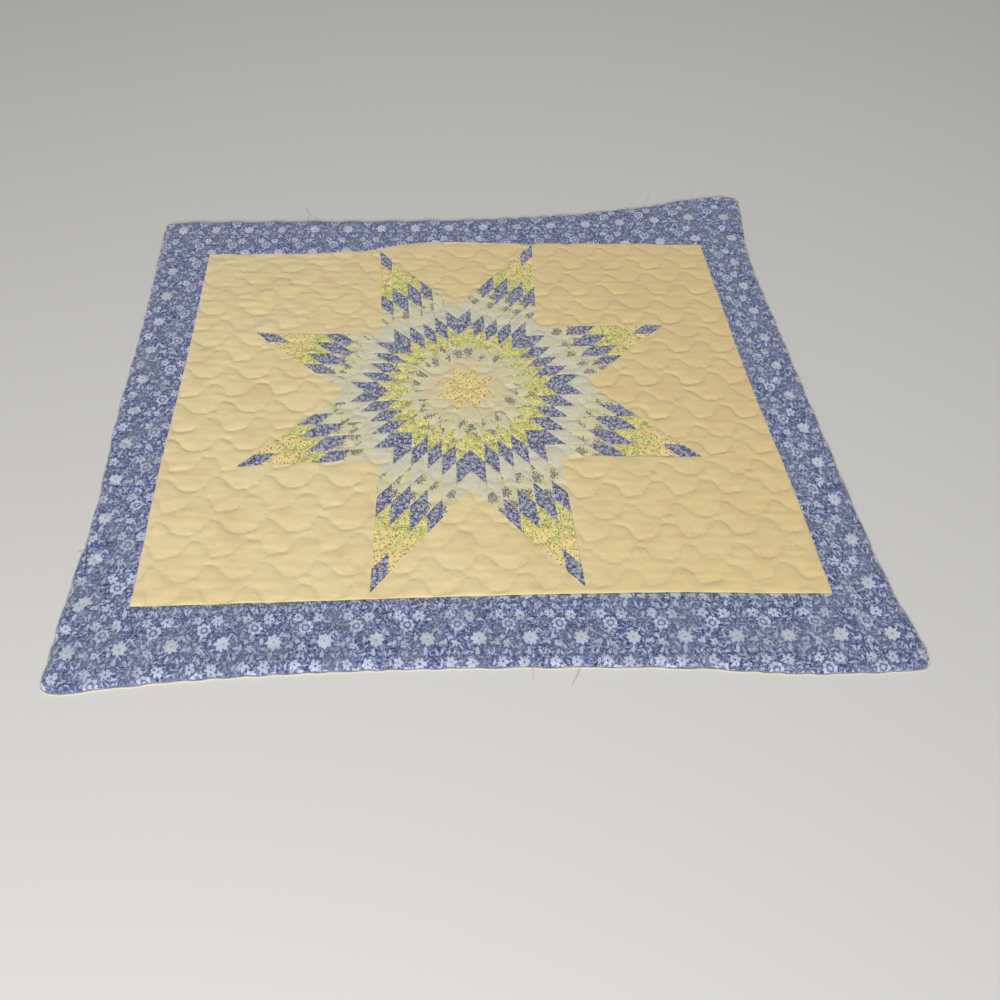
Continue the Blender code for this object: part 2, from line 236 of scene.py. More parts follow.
# The floor and the lights, in metres. A light is its name, place, size, power and colour.
FLOOR = {"half": 15.0, "gap": 0.0002, "roughness": 0.9, "colour": (0.62, 0.62, 0.61, 1.0)}
STUDIO = {"Color": (1.0, 0.99, 0.97, 1.0), "Strength": 0.39}
LIGHTS = (
    ("key", (-0.7, -2.6, 1.4), (1.2, 0.7), 71.0, (1.0, 0.98, 0.95)),
    ("top", (0.6, 0.3, 2.6), (2.4, 2.0), 13.0, (1.0, 1.0, 1.0)),
)


def outline(node):
    """The plan of a node's underside, counterclockwise."""
    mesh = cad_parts[node].data
    mesh.calc_loop_triangles()
    places = np.array([v.co for v in mesh.vertices]) / MM
    corners = np.array([t.vertices for t in mesh.loop_triangles])
    flat = places[:, 2] < places[:, 2].min() + 0.05
    plan, index = np.unique(np.round(places[:, :2], 2), axis=0, return_inverse=True)
    under = index.ravel()[corners[flat[corners].all(axis=1)]]
    ways = {(int(a), int(b)) for t in under for a, b in zip(t, np.roll(t, -1))}
    onward = {b: a for a, b in ways if (b, a) not in ways}
    loop = [min(onward)]
    while onward[loop[-1]] != loop[0]:
        loop.append(onward[loop[-1]])
    return plan[loop]


def ways_and_turns(loop):
    """The direction of each edge, of the one before it, and the angle between the two."""
    ahead = after(loop) - loop
    way = ahead / np.hypot(*ahead.T)[:, None]
    back = np.roll(way, 1, axis=0)
    turn = np.degrees(np.arccos(np.clip((way * back).sum(axis=1), -1, 1)))
    return way, back, turn


def curve(a, b, leave, arrive, t):
    """The smooth curve from a to b that leaves and arrives along two runs."""
    return (
        a * (1 + 2 * t) * (1 - t) ** 2 + leave * t * (1 - t) ** 2
        + b * t * t * (3 - 2 * t) + arrive * t * t * (t - 1)
    )


def refined(loop, step, sharp):
    """The loop with a point every step or less, smooth wherever it turns less than sharp."""
    way, back, turn = ways_and_turns(loop)
    mean = way + back
    mean /= np.hypot(*mean.T)[:, None]
    soft = (turn < sharp)[:, None]
    leave = np.where(soft, mean, way)
    arrive = np.roll(np.where(soft, mean, back), -1, axis=0)
    points = []
    for k, first in enumerate(loop):
        last = loop[(k + 1) % len(loop)]
        length = np.hypot(*(last - first))
        count = max(1, math.ceil(length / step))
        t = (np.arange(count) / count)[:, None]
        points.append(curve(first, last, leave[k] * length, arrive[k] * length, t))
    return np.concatenate(points)


def inset(loop, depth):
    """The loop moved inward, by one depth or by a depth for each point."""
    way, back, _ = ways_and_turns(loop)
    inward = np.c_[-way[:, 1], way[:, 0]]
    before = np.c_[-back[:, 1], back[:, 0]]
    both = inward + before
    stretch = np.maximum(1 + (inward * before).sum(axis=1), 0.3)
    return loop + both * (np.asarray(depth) / stretch)[:, None]


def tree_of(points):
    tree = KDTree(len(points))
    for k, (x, y) in enumerate(points):
        tree.insert((x, y, 0.0), k)
    tree.balance()
    return tree


def gap_in(tree, points):
    return np.array([tree.find((x, y, 0.0))[2] for x, y in points])


def marks_on(starts, ends):
    """Points close together along some straight edges."""
    marks = []
    for a, b in zip(starts, ends):
        count = math.ceil(np.hypot(*(b - a)) / MARK_STEP)
        marks.append(a + (b - a) * (np.arange(count) / count)[:, None])
    return np.concatenate(marks)


def gap_to(points, starts, ends):
    """How far each point is from the nearest of some straight edges."""
    if len(starts) == 0:
        return np.full(len(points), 1000.0)
    return gap_in(tree_of(marks_on(starts, ends)), points)


def after(loop):
    """For each point of a closed loop, the one after it."""
    return np.roll(loop, -1, axis=0)


def marks_round(loop):
    return marks_on(loop, after(loop))


def gap_to_loop(points, loop):
    return gap_in(tree_of(marks_round(loop)), points)


def loop_edges(count):
    """The edges of a closed loop of that many points."""
    return [(k, (k + 1) % count) for k in range(count)]


def inside(points, loop):
    """Which points lie within the loop."""
    within = np.zeros(len(points), bool)
    for a, b in zip(loop, after(loop)):
        if a[1] != b[1]:
            crosses = (a[1] > points[:, 1]) != (b[1] > points[:, 1])
            at = a[0] + (points[:, 1] - a[1]) * (b[0] - a[0]) / (b[1] - a[1])
            within ^= crosses & (points[:, 0] < at)
    return within


def star_corners(node):
    """The middle of the star, notch, tip and notch of one of its points."""
    loop = outline(node)
    _, _, turn = ways_and_turns(loop)
    corners = loop[turn > POINT_SHARP]
    first = int(np.argmin(np.hypot(*(corners - STAR_ROUGH).T)))
    return np.roll(corners, -first, axis=0)


STAR_ROUGH = np.mean([np.add(*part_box(node))[:2] / 2 / MM for node in STARS], axis=0)
STAR_MIDDLE = np.mean([star_corners(node)[0] for node in STARS], axis=0)
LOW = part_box("border_top")[0].z / MM
EDGE_LOOP = outline("backing")
LOOPS = {node: refined(outline(node), LOOP_STEP, STRIP_SHARP) for node in BORDERS}
LOOPS.update((node, refined(outline(node), LOOP_STEP, PIECE_SHARP)) for node in FIELDS + STARS)


def wave_depth(points, x):
    """How far down its repeat a wave lies at x along it."""
    length = REPEAT["length"]
    table = np.array(points)
    at = np.concatenate([table[:, 0] + length * k for k in (-1, 0, 1)])
    down = np.tile(table[:, 1], 3)
    slope = np.gradient(down, at)
    x = (x - at[0]) % length + at[0] + length / 2
    k = np.clip(np.searchsorted(at, x, side="right") - 1, 0, len(at) - 2)
    span = at[k + 1] - at[k]
    t = (x - at[k]) / span
    return curve(down[k], down[k + 1], slope[k] * span, slope[k + 1] * span, t)


def quilting_lines(x):
    """The height in plan of every quilting line at each x, from the top of the quilt down.
    No two rows of quilting are quite alike."""
    left, top = STAR_MIDDLE + REPEAT["corner"]
    first = math.floor((top - QUILT_REACH) / REPEAT["height"])
    last = math.ceil((top + QUILT_REACH) / REPEAT["height"])
    lines = []
    for repeat in range(first, last + 1):
        for kind, points in enumerate(WAVES):
            own = repeat * 2 + kind
            sway = 1.1 * np.sin(x / 93 + own * 1.7) + 0.7 * np.sin(x / 41 + own * 2.9)
            shift = REPEAT["lean"] * repeat + 1.5 * math.sin(own * 2.3)
            along = x - left - shift + 1.2 * np.sin(x / 71 + own * 1.1)
            lines.append(top - wave_depth(points, along) - REPEAT["height"] * repeat + sway)
    return lines


COLUMNS = np.arange(-QUILT_REACH, QUILT_REACH, COLUMN_STEP)
DENSE = np.arange(-QUILT_REACH, QUILT_REACH, COLUMN_STEP / 4)
LINES = [np.c_[COLUMNS, y] for y in quilting_lines(COLUMNS)]
DENSE_LINES = [np.c_[DENSE, y] for y in quilting_lines(DENSE)]
QUILT_TREE = tree_of(np.concatenate(DENSE_LINES))


def pucker_points():
    """Points along the lesser creases of every repeat."""
    left, top = STAR_MIDDLE + REPEAT["corner"]
    points = []
    for up in range(*PUCKER_ROWS):
        for across in range(*PUCKER_COLUMNS):
            shift = across * REPEAT["length"] - up * REPEAT["lean"], up * REPEAT["height"]
            for crease in PUCKERS:
                table = np.array(crease)
                at = np.linspace(table[0, 0], table[-1, 0], PUCKER_POINTS)
                down = np.interp(at, table[:, 0], table[:, 1])
                points.append(np.c_[left + at, top - down] + shift)
    return np.concatenate(points)


PUCKER_TREE = tree_of(pucker_points())


def ripple(x, y, length, seed):
    """A smooth uneven surface between -1 and 1, with bumps of about that length."""
    total = np.zeros(len(x))
    count = 6
    for k in range(count):
        angle = seed * 1.3 + k * 2.39996
        own = length * (0.75 + 0.5 * ((k * 0.618 + seed * 0.37) % 1.0))
        total += np.sin((x * math.cos(angle) + y * math.sin(angle)) * 2 * math.pi / own + k * seed)
    return total / count * 1.6


def varied(x, y, row):
    """A share that goes up and down: its middle, how far it goes, over what length, and seed."""
    middle, far, length, seed = row
    return middle + far * ripple(x, y, length, seed)


def uneven(x, y, rows):
    """Ripples by their height, how far X and Y count in them, their length and seed."""
    return sum(high * ripple(x * a, y * b, length, seed) for high, a, b, length, seed in rows)


def fold_height(x, y):
    total = np.zeros(len(x))
    for fold in FOLDS:
        a = np.array(fold["start"], float) + STAR_MIDDLE
        run = np.array(fold["end"], float) + STAR_MIDDLE - a
        share = np.clip(((x - a[0]) * run[0] + (y - a[1]) * run[1]) / (run @ run), 0, 1)
        gap = np.hypot(x - a[0] - run[0] * share, y - a[1] - run[1] * share)
        reach = np.minimum(gap / fold["half_width"], 1.0)
        total += fold["height"] * (1 + np.cos(np.pi * reach)) / 2 * np.sin(np.pi * share)
    return total


def rise(share):
    """From 0 in a seam to 1 where the cloth is at its full height, round like a pillow."""
    share = np.clip(share, 0, 1)
    return np.sqrt(1 - (1 - share) ** 2)


def top_height(points, seam_gap, edge_gap=None, patch_gap=None, hidden_gap=None):
    """The height of the top cloth, and how close each point is to the quilting, from 0 to 1."""
    x, y = points.T
    stitch_gap = gap_in(QUILT_TREE, points)
    crease_gap = gap_in(PUCKER_TREE, points)
    near = np.exp(-(stitch_gap / STITCH_ROLL) ** STITCH_POWER)
    depth = (PUFF_TOP - STITCH_TOP) * varied(x, y, STITCH_VARIES)
    off = (points - STAR_MIDDLE - CREASED["middle"]) / CREASED["reach"]
    creased = np.exp(-(off * off).sum(axis=1))
    full = np.interp(y - STAR_MIDDLE[1], *zip(*QUILT_DEPTH)) * (1 - CREASED["lost"] * creased)
    depth = depth * full
    if patch_gap is not None:
        depth = depth * (PATCH_SLACK + (1 - PATCH_SLACK) * np.exp(-hidden_gap / PATCH_SLACK_REACH))
    drops = [near * depth]
    for gap, level, roll in ((seam_gap, SEAM_TOP, SEAM_ROLL), (patch_gap, PATCH_TOP, PATCH_ROLL)):
        if gap is not None:
            drops.append((1 - rise(gap / roll)) * (PUFF_TOP - level))
    dip = (1 + np.cos(np.pi * np.clip(hidden_gap / SEAM_ROLL, 0, 1))) / 2
    drops.append(dip * (PUFF_TOP - HIDDEN_SEAM_TOP))
    drop = sum(np.maximum(part, 0) ** 3 for part in drops) ** (1 / 3)
    z = PUFF_TOP + CROWN * np.clip(stitch_gap / CROWN_REACH, 0, 1) + fold_height(x, y)
    z += uneven(x, y, SWELLS)
    z += uneven(x, y, SHORT_CREASES) * (1 + CREASED["more"] * creased)
    z += np.exp(-stitch_gap / PULL_REACH) * uneven(x, y, PULLS)
    crease = np.exp(-(crease_gap / PUCKER_REACH) ** PUCKER_POWER) * varied(x, y, PUCKER_VARIES)
    z -= PUCKER_DEPTH * crease * full
    z -= drop
    if edge_gap is not None:
        z = EDGE_TOP + (z - EDGE_TOP) * rise(edge_gap / EDGE_ROLL)
    return z, near


def scatter():
    """Points that fill the quilt, close together along the quilting and wider on the puffs."""
    points = []
    for upper, lower in zip(LINES, LINES[1:]):
        for (x, high), (_, low) in zip(upper, lower):
            gap = high - low
            near = [d for d in ROW_OFFSETS if d < gap / 2 - 0.5]
            rest = gap - 2 * near[-1]
            count = max(1, round(rest / ROW_STEP))
            fill = [near[-1] + rest * k / count for k in range(1, count)]
            points += [(x, high - d) for d in near + fill]
            points += [(x, low + d) for d in near]
    return np.array(points)


SCATTER = scatter()


def triangulate(points, edges):
    """Counterclockwise triangles over points, kept within the closed loops of edges."""
    flat = [Vector((float(x), float(y))) for x, y in points]
    places, _, faces, _, _, _ = delaunay_2d_cdt(flat, edges, [], 1, 1e-4)
    return np.array([(p.x, p.y) for p in places]), np.array(faces)


def cut(loop, lines, fill, clear):
    """Triangles over the inside of a loop, with edges along every line that crosses it."""
    points = [loop]
    count = len(loop)
    edges = loop_edges(count)
    low, high = loop.min(axis=0), loop.max(axis=0)
    for depth in SEAM_ROWS:
        row = inset(loop, depth)
        row = row[inside(row, loop)]
        row = row[gap_to_loop(row, loop) > depth * ROW_KEPT]
        points.append(row)
        count += len(row)
    for line in lines:
        boxed = ((line > low) & (line < high)).all(axis=1)
        if not boxed.any():
            continue
        kept = np.zeros(len(line), bool)
        kept[boxed] = inside(line[boxed], loop)
        kept[kept] = gap_to_loop(line[kept], loop) > LINE_CLEAR
        places = np.flatnonzero(kept)
        points.append(line[places])
        edges += [(count + k, count + k + 1) for k in np.flatnonzero(np.diff(places) == 1)]
        count += len(places)
    boxed = fill[((fill > low) & (fill < high)).all(axis=1)]
    boxed = boxed[inside(boxed, loop)]
    points.append(boxed[gap_to_loop(boxed, loop) > clear])
    return triangulate(np.concatenate(points), [(int(a), int(b)) for a, b in edges])


def rim_of(faces):
    """The edges that only one triangle uses, in that triangle's own direction, and its number."""
    ways = faces[:, [0, 1, 1, 2, 2, 0]].reshape(-1, 2)
    keys = ways[:, 0] * (faces.max() + 1) + ways[:, 1]
    backward = ways[:, 1] * (faces.max() + 1) + ways[:, 0]
    alone = ~np.isin(keys, backward)
    return ways[alone], np.flatnonzero(alone) // 3


def closed(top, top_faces, under, under_faces):
    """One body from a top and an underside whose rims have the same plan."""
    rim, _ = rim_of(top_faces)
    below = {tuple(np.round(p[:2], 3)): k for k, p in enumerate(under)}
    match = {int(a): len(top) + below[tuple(np.round(top[a][:2], 3))] for a in rim[:, 0]}
    faces = [top_faces, under_faces[:, ::-1] + len(top)]
    walls = [((b, a, match[a]), (b, match[a], match[b])) for a, b in rim.tolist()]
    faces.append(np.array(walls).reshape(-1, 3))
    return np.concatenate([top, under]), np.concatenate(faces)


def plain_under(top, top_faces, level):
    """A flat underside with only the rim's own points."""
    rim, _ = rim_of(top_faces)
    places, index = np.unique(rim, return_inverse=True)
    edges = [tuple(int(k) for k in pair) for pair in index.reshape(-1, 2)]
    plan, faces = triangulate(top[places][:, :2], edges)
    return np.c_[plan, np.full(len(plan), level)], faces


def make_piece(name, node, points, faces, materials, paint=None, cloth=None, near=None):
    """A mesh object that stands for a node. Cloth is the place of each face corner on the cloth
    that it was cut from, and near is how close each point is to the quilting, which the materials
    use for fine creases and for painted shade in the quilting grooves."""
    mesh = bpy.data.meshes.new(name)
    mesh.vertices.add(len(points))
    mesh.loops.add(faces.size)
    mesh.polygons.add(len(faces))
    mesh.vertices.foreach_set("co", (points * MM).astype(np.float32).ravel())
    mesh.loops.foreach_set("vertex_index", faces.astype(np.int32).ravel())
    mesh.polygons.foreach_set("loop_start", np.arange(0, faces.size, 3, dtype=np.int32))
    for material in materials:
        mesh.materials.append(material)
    if paint is not None:
        mesh.polygons.foreach_set("material_index", paint.astype(np.int32))
    mesh.update(calc_edges=True)
    if cloth is None:
        cloth = points[faces.ravel()] * (1, 1, 0)
    attribute = mesh.attributes.new("cloth", "FLOAT_VECTOR", "CORNER")
    attribute.data.foreach_set("vector", cloth.astype(np.float32).ravel())
    # Closeness to the quilting, kept for the fine creases there and for painted shade in the
    # grooves.
    if near is not None:
        attribute = mesh.attributes.new("pinch_and_shade", "FLOAT", "POINT")
        attribute.data.foreach_set("value", near.astype(np.float32))
    mesh.shade_smooth()
    mesh.set_sharp_from_angle(angle=math.radians(SHADE_SHARP))
    piece = add(name, mesh)
    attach(piece, "root")
    if node:
        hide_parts(node)
    return piece


def cut_size(loop):
    """The smallest rectangle that the loop's cloth is cut from, and its area, in metres."""
    best = None
    for angle in np.radians(np.arange(0, 90, 1)):
        size = np.ptp(turn(loop, -angle), axis=0) * MM
        if best is None or size.prod() < np.prod(best):
            best = size
    x, y = loop.T
    area = abs(x @ np.roll(y, -1) - y @ np.roll(x, -1)) / 2 * MM * MM
    return tuple(float(side) for side in best), float(area)


def declare(loop):
    flat, area = cut_size(loop)


def linear(colour):
    """A colour of 0 to 255 as Blender's linear one."""
    parts = [c / 255 for c in colour]
    return (*(c / 12.92 if c <= 0.04045 else ((c + 0.055) / 1.055) ** 2.4 for c in parts), 1.0)


def matt(name, roughness, sheen):
    """A new matt material and its shader."""
    material = bpy.data.materials.new(name)
    material.use_nodes = True
    shader = material.node_tree.nodes["Principled BSDF"]
    values = {"Roughness": roughness, "Sheen Weight": sheen, **MATT}
    for key, value in values.items():
        shader.inputs[key].default_value = value
    return material, shader


class Nodes:
    """A cloth's material, with one short call for each kind of node. Each pair in uneven gives
    how far the printed edges stray, and over what length, in millimetres."""

    def __init__(self, name, *uneven, roughness=0.86, sheen=0.25):
        self.material, self.shader = matt(name, roughness, sheen)
        self.tree = self.material.node_tree
        self.place = self.put("ShaderNodeAttribute", attribute_name="cloth").outputs["Vector"]
        for far, length in uneven:
            push = self.move("SUBTRACT", self.noise(length, output="Color"), (0.5, 0.5, 0.5))
            push = self.move("MULTIPLY", push, (far * 2, far * 2, 0.0))
            self.place = self.move("ADD", self.place, push)

    def put(self, kind, inputs=None, **settings):
        node = self.tree.nodes.new(kind)
        for key, value in settings.items():
            setattr(node, key, value)
        for key, value in (inputs or {}).items():
            if isinstance(value, bpy.types.NodeSocket):
                self.tree.links.new(value, node.inputs[key])
            else:
                node.inputs[key].default_value = value
        return node

    def calc(self, operation, *values):
        return self.put("ShaderNodeMath", dict(enumerate(values)), operation=operation).outputs[0]

    def times(self, a, b):
        return self.calc("MULTIPLY", a, b)

    def less(self, a, b):
        return self.calc("SUBTRACT", a, b)

    def line(self, value, gain, base):
        return self.calc("MULTIPLY_ADD", value, gain, base)

    def away(self, a, b):
        return self.calc("ABSOLUTE", self.less(a, b))

    def over(self, tone, mask, light):
        """The tone, or the mask in its own light where that is brighter."""
        return self.calc("MAXIMUM", tone, self.times(mask, light))

    def parts(self, place):
        return self.put("ShaderNodeSeparateXYZ", {0: place}).outputs

    def move(self, operation, *values):
        node = self.put("ShaderNodeVectorMath", dict(enumerate(values)), operation=operation)
        return node.outputs["Value" if operation == "LENGTH" else "Vector"]

    def turned(self, place, angle):
        inputs = {"Vector": place, "Angle": angle}
        return self.put("ShaderNodeVectorRotate", inputs, rotation_type="Z_AXIS").outputs[0]

    def step(self, value, low, high):
        """A smooth step from 0 at low to 1 at high."""
        inputs = {"Value": value, "From Min": low, "From Max": high}
        return self.put("ShaderNodeMapRange", inputs, interpolation_type="SMOOTHSTEP").outputs[0]

    def mix(self, share, a, b, **settings):
        """A colour between two, which are sockets or colours of 0 to 255."""
        a, b = (linear(colour) if isinstance(colour, tuple) else colour for colour in (a, b))
        inputs = {0: share, 6: a, 7: b}
        return self.put("ShaderNodeMix", inputs, data_type="RGBA", **settings).outputs[2]

    def wash(self, colour, mask, share, other):
        """The colour, with a share of another laid over it where the mask is on."""
        return self.mix(self.times(mask, share), colour, other)

    def shifted(self, x, y):
        return self.move("ADD", self.place, (x, y, 0.0))

    def noise(self, size, detail=2.0, output="Fac", place=None):
        """Noise with bumps of about that size in millimetres."""
        inputs = {"Vector": place or self.place, "Scale": 1.0 / size, "Detail": detail}
        return self.put("ShaderNodeTexNoise", inputs).outputs[output]

    def patches(self, size, low, high, shift=None, detail=2.0):
        """Soft patches, where the noise is past low, and full where it is past high."""
        place = self.shifted(*shift) if shift else None
        return self.step(self.noise(size, detail, place=place), low, high)

    def grain(self, size):
        """Noise of either sign."""
        return self.less(self.noise(size), 0.5)

    def voronoi(self, place, size, spread=1.0):
        """The nearest of many points about that size apart."""
        inputs = {"Vector": place, "Scale": 1.0 / size, "Randomness": spread}
        return self.put("ShaderNodeTexVoronoi", inputs, voronoi_dimensions="2D").outputs

    def cells(self, size, low, high, spread=1.0):
        """Round spots, where the nearest point is between high and low of a cell away."""
        return self.step(self.voronoi(self.place, size, spread)["Distance"], low, high)

    def curls(self, size, width, shift=None):
        """Thin winding lines, about that size apart."""
        place = self.shifted(*shift) if shift else None
        off = self.away(self.noise(size, detail=1.0, place=place), 0.5)
        return self.step(off, width, width * 0.4)

    def ramp(self, value, stops):
        node = self.put("ShaderNodeValToRGB", {"Fac": value})
        while len(node.color_ramp.elements) < len(stops):
            node.color_ramp.elements.new(0.5)
        for element, (place, colour) in zip(node.color_ramp.elements, stops):
            element.position = place
            element.color = linear(colour)
        return node.outputs[0]

    def repeat(self, at, turn=0.0):
        """The place from a motif's middle, in the nearest of its repeats, turned its own way."""
        half = PRINT_CELL / 2
        local = self.move("SUBTRACT", self.place, (*at, 0.0))
        local = self.move("WRAP", local, (half, half, 1000.0), (-half, -half, -1000.0))
        return self.turned(local, math.radians(-turn)) if turn else local

    def leaf(self, local, length, width, soft=0.3):
        """A leaf's mask: pointed at both ends, its length along its own X."""
        parts = self.parts(local)
        along = self.calc("DIVIDE", parts[0], length / 2)
        edge = self.times(self.less(1.0, self.times(along, along)), width / 2)
        return self.step(self.less(edge, self.calc("ABSOLUTE", parts[1])), -soft, soft)

    def strewn(self, size, length, width, seed=1):
        """Small leaf strokes, one in each of many cells, each turned its own way."""
        spot = self.shifted(seed * 17.0, seed * 29.0)
        cell = self.voronoi(spot, size)
        local = self.move("SUBTRACT", spot, cell["Position"])
        local = self.move("MULTIPLY", local, (1.0, 1.0, 0.0))
        own = self.put("ShaderNodeSeparateColor", {0: cell["Color"]}).outputs
        local = self.turned(local, self.times(own[0], math.tau))
        return self.leaf(local, length, width, 0.25), own[1]

    def blossom(self, local, radius, petals, depth, rough, sharp):
        """A flower's mask, how deep between petals each place is, and its reach from the middle.
        Rough is how much farther than usual the flower reaches at each place."""
        parts = self.parts(local)
        reach = self.move("LENGTH", local)
        angle = self.calc("ARCTAN2", parts[1], parts[0])
        if sharp:
            part = self.calc("PINGPONG", self.times(angle, petals / math.tau), 0.5)
            lobe = self.line(part, -2.0, 1.0)
        else:
            lobe = self.calc("ABSOLUTE", self.calc("COSINE", self.times(angle, petals / 2)))
            lobe = self.calc("POWER", lobe, 0.7)
        edge = self.line(lobe, radius * depth, radius * (1 - depth))
        edge = self.calc("ADD", edge, rough)
        return self.step(self.less(edge, reach), -PETAL_SOFT, PETAL_SOFT), lobe, reach

    def finish(self, colour, *washes, weave=0.35):
        """Sets the colour under some washes, and gives the cloth its weave, slubs and fine creases,
        and a little painted shade that darkens it near the quilting."""
        for mask, share, other in washes:
            colour = self.wash(colour, mask, share, other)
        parts = self.parts(self.place)
        warp, weft = (self.calc("SINE", self.times(parts[k], math.tau / weave)) for k in (0, 1))
        thread = self.times(warp, weft)
        slub = self.noise(0.8, place=self.move("MULTIPLY", self.place, (1.0, 0.15, 1.0)))
        streak = self.noise(5.5, place=self.move("MULTIPLY", self.place, (0.3, 1.0, 1.0)))
        crease = self.line(streak, 0.9, self.noise(5.0, detail=4.0))
        pinch_and_shade = self.put("ShaderNodeAttribute", attribute_name="pinch_and_shade").outputs["Fac"]
        relief = self.line(slub, 0.05, self.times(thread, 0.03))
        relief = self.calc("ADD", relief, self.times(crease, self.line(pinch_and_shade, 0.8, 0.35)))
        bump = self.put("ShaderNodeBump", {"Height": relief, "Distance": 0.001, "Strength": 0.55})
        self.tree.links.new(bump.outputs[0], self.shader.inputs["Normal"])
        # Painted shade: the colour is darkened a little near the quilting, where the grooves fall
        # in shade.
        tone = self.less(self.line(slub, 0.14, 0.93), self.times(pinch_and_shade, 0.07))
        shade = self.put("ShaderNodeCombineXYZ", {0: tone, 1: tone, 2: tone}).outputs[0]
        tinted = self.mix(1.0, colour, shade, blend_type="MULTIPLY")
        self.tree.links.new(tinted, self.shader.inputs["Base Color"])
        return self.material


def blue_floral():
    """Pale lilac flowers, leaves and sprigs, close together on a blue violet ground."""
    nodes = Nodes("blue_floral", (2.2, 9.0), (1.1, 2.4), roughness=0.85)
    tone = nodes.line(nodes.patches(5.5, 0.5, 0.66, detail=1.0), -0.2, 0.36)
    dark, _ = nodes.strewn(6.2, 6.5, 2.4, seed=3)
    tone = nodes.less(tone, nodes.times(dark, 0.2))
    for size, length, width, seed in ((5.6, 6.4, 2.6, 1), (4.4, 4.6, 2.0, 2)):
        stroke, choice = nodes.strewn(size, length, width, seed)
        tone = nodes.over(tone, stroke, nodes.line(choice, 0.46, 0.36))
    tone = nodes.over(tone, nodes.curls(6.0, 0.03), 0.66)
    for x, y, length, width, angle in PRINT_LEAVES:
        tone = nodes.over(tone, nodes.leaf(nodes.repeat((x, y), angle), length, width), 0.84)
    ragged = nodes.grain(2.8)
    for at, radius, petals, depth, ring, rough in PRINT_FLOWERS:
        sharp = at == STAR_FLOWER
        rough = nodes.times(ragged, rough)
        mask, lobe, reach = nodes.blossom(nodes.repeat(at), radius, petals, depth, rough, sharp)
        gain = 0.16 if sharp else 0.42
        light = nodes.line(nodes.step(lobe, 0.02, 0.45), gain, 0.96 - gain)
        if ring:
            pale = nodes.step(nodes.away(reach, radius * ring), 2.0, 0.3)
            light = nodes.less(light, nodes.times(pale, 0.45))
        else:
            core = nodes.step(reach, radius * 0.24, radius * 0.08)
            light = nodes.less(light, nodes.times(core, 0.65))
        tone = nodes.line(mask, light, nodes.times(tone, nodes.less(1.0, mask)))
    colour = nodes.ramp(nodes.line(nodes.grain(1.4), 0.75, tone), (
        (0.0, (34, 41, 74)), (0.34, (69, 80, 122)), (0.6, (118, 130, 170)), (0.95, (192, 200, 222)),
    ))
    return nodes.finish(
        colour, (nodes.patches(40.0, 0.4, 0.65), 0.34, (122, 130, 146)),
        (nodes.times(mask, nodes.step(reach, 8.5, 2.0)), 0.5, (204, 208, 196)),
    )


def violet_sprigs():
    """A greyer violet print of tiny pale blossoms and curls, close together."""
    nodes = Nodes("violet_sprigs", (0.8, 3.0))
    tone = nodes.times(nodes.patches(6.0, 0.4, 0.62), 0.42)
    tone = nodes.over(tone, nodes.curls(4.6, 0.05), 0.8)
    tone = nodes.over(tone, nodes.curls(3.4, 0.04, (37.0, 37.0)), 0.66)
    reach = nodes.voronoi(nodes.place, 6.0)["Distance"]
    tone = nodes.over(tone, nodes.step(nodes.away(reach, 0.22), 0.12, 0.05), 0.95)
    colour = nodes.ramp(nodes.line(nodes.grain(1.2), 0.7, tone), (
        (0.0, (48, 48, 76)), (0.35, (78, 79, 112)), (0.7, (136, 138, 166)), (1.0, (206, 210, 222)),
    ))
    return nodes.finish(colour)


def yellow_green():
    """A crowded print in yellows and leaf greens with winding dark olive stems."""
    nodes = Nodes("yellow_green", (0.8, 3.0))
    ground = nodes.mix(nodes.patches(15.0, 0.42, 0.58), (214, 204, 110), (190, 192, 96))
    ground = nodes.mix(nodes.patches(22.0, 0.58, 0.68, (91.0, 37.0)), ground, (226, 200, 104))
    stroke, choice = nodes.strewn(5.4, 6.0, 2.8)
    colour = nodes.mix(stroke, ground, nodes.mix(choice, (234, 227, 152), (170, 174, 86)))
    crowd = nodes.patches(9.0, 0.4, 0.56, (13.0, 57.0))
    return nodes.finish(
        colour,
        (nodes.cells(9.5, 0.34, 0.28), 1.0, (232, 224, 150)),
        (nodes.cells(9.5, 0.13, 0.08), 1.0, (132, 114, 64)),
        (nodes.times(nodes.curls(4.8, 0.06), crowd), 0.9, (108, 96, 56)),
        (nodes.curls(4.0, 0.04, (71.0, 23.0)), 0.7, (240, 233, 172)),
    )


def pale_spots():
    """A pale grey green cloth with scattered mauve flowers and soft green leaves."""
    nodes = Nodes("pale_spots", (1.8, 5.0))
    bunch = nodes.voronoi(nodes.place, SPOT_CELL, 0.35)["Distance"]
    leaves = nodes.times(nodes.step(bunch, 0.42, 0.34), nodes.step(bunch, 0.2, 0.26))
    violet = nodes.patches(60.0, 0.45, 0.6, detail=1.0)
    mauve = nodes.mix(violet, (182, 170, 154), (182, 172, 186))
    return nodes.finish(
        nodes.mix(nodes.noise(30.0), (219, 210, 174), (208, 203, 170)),
        (nodes.patches(13.0, 0.48, 0.68, (40.0, 11.0)), 0.6, (197, 203, 126)),
        (leaves, nodes.strewn(4.4, 5.0, 2.2)[0], (124, 126, 78)),
        (nodes.step(bunch, 0.28, 0.22), 0.9,
         nodes.mix(nodes.patches(2.4, 0.44, 0.54), mauve, (98, 86, 80))),
    )


def pale_plain(name, first, second):
    """The same pale cloth where it has few flowers."""
    nodes = Nodes(name, (1.0, 4.0))
    stroke, choice = nodes.strewn(9.0, 7.0, 2.6)
    blush = nodes.times(stroke, nodes.step(choice, 0.3, 0.7))
    colour = nodes.mix(nodes.noise(26.0), first, second)
    return nodes.finish(colour, (blush, 0.55, (190, 188, 130)))


